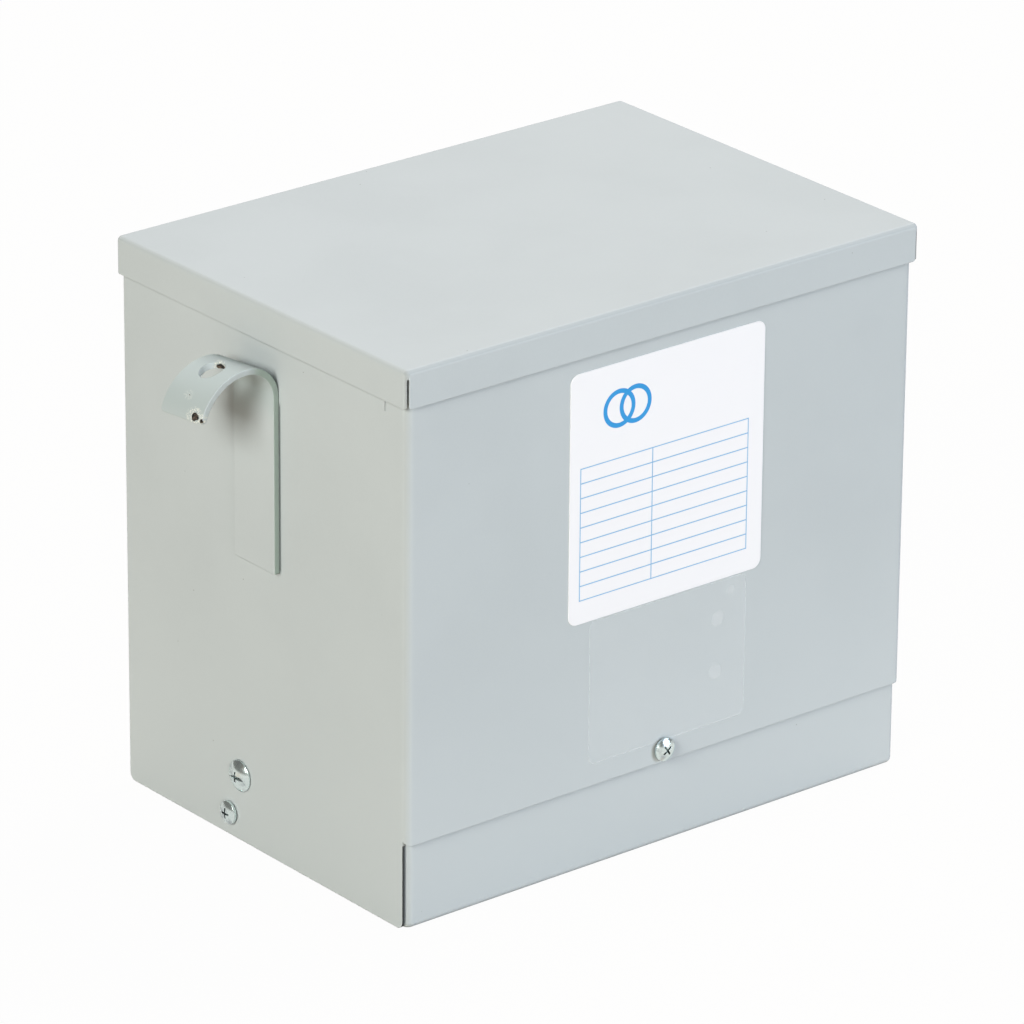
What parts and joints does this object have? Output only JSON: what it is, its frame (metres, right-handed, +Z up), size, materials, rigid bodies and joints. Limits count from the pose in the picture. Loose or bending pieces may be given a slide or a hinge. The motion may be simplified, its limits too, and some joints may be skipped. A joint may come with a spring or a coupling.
{
  "type": "encapsulated dry type transformer",
  "caption": "Box-shaped encapsulated transformer in a grey folded-sheet enclosure with an overlapping lid, a base pan and curled lifting hooks on its sides.",
  "frame": {"origin": "centre of the enclosure's footprint, on the underside of the base pan", "axes": "+X to the right along the front, -Y out of the front, +Z up"},
  "size_m": [0.3648, 0.207, 0.2596],
  "materials": {
    "grey_paint": "semi-gloss powder coat",
    "hook_paint": "semi-gloss powder coat, chipped to bare steel",
    "zinc_plate": "bright zinc plate",
    "bracket_steel": "mill finish",
    "plate_face": "satin white film",
    "clear_film": "clear gloss film",
    "potting": "sand-filled resin"
  },
  "bodies": {
    "root": {"lid": "grey_paint", "wraparound_cover": "grey_paint", "base_pan": "grey_paint", "back_panel": "grey_paint", "left_lifting_hook": "hook_paint", "right_lifting_hook": "hook_paint", "front_cover_screw": "zinc_plate", "back_cover_screw": "zinc_plate", "left_base_screw": "zinc_plate", "right_base_screw": "zinc_plate", "left_core_screw": "zinc_plate", "right_core_screw": "zinc_plate", "front_clip_nut": "zinc_plate", "back_clip_nut": "zinc_plate", "left_clip_nut": "zinc_plate", "right_clip_nut": "zinc_plate", "left_core_nut": "zinc_plate", "right_core_nut": "zinc_plate", "left_core_bracket": "bracket_steel", "right_core_bracket": "bracket_steel", "nameplate": "plate_face", "clear_film": "clear_film", "core_and_coil_block": "potting"}
  },
  "joints": []
}
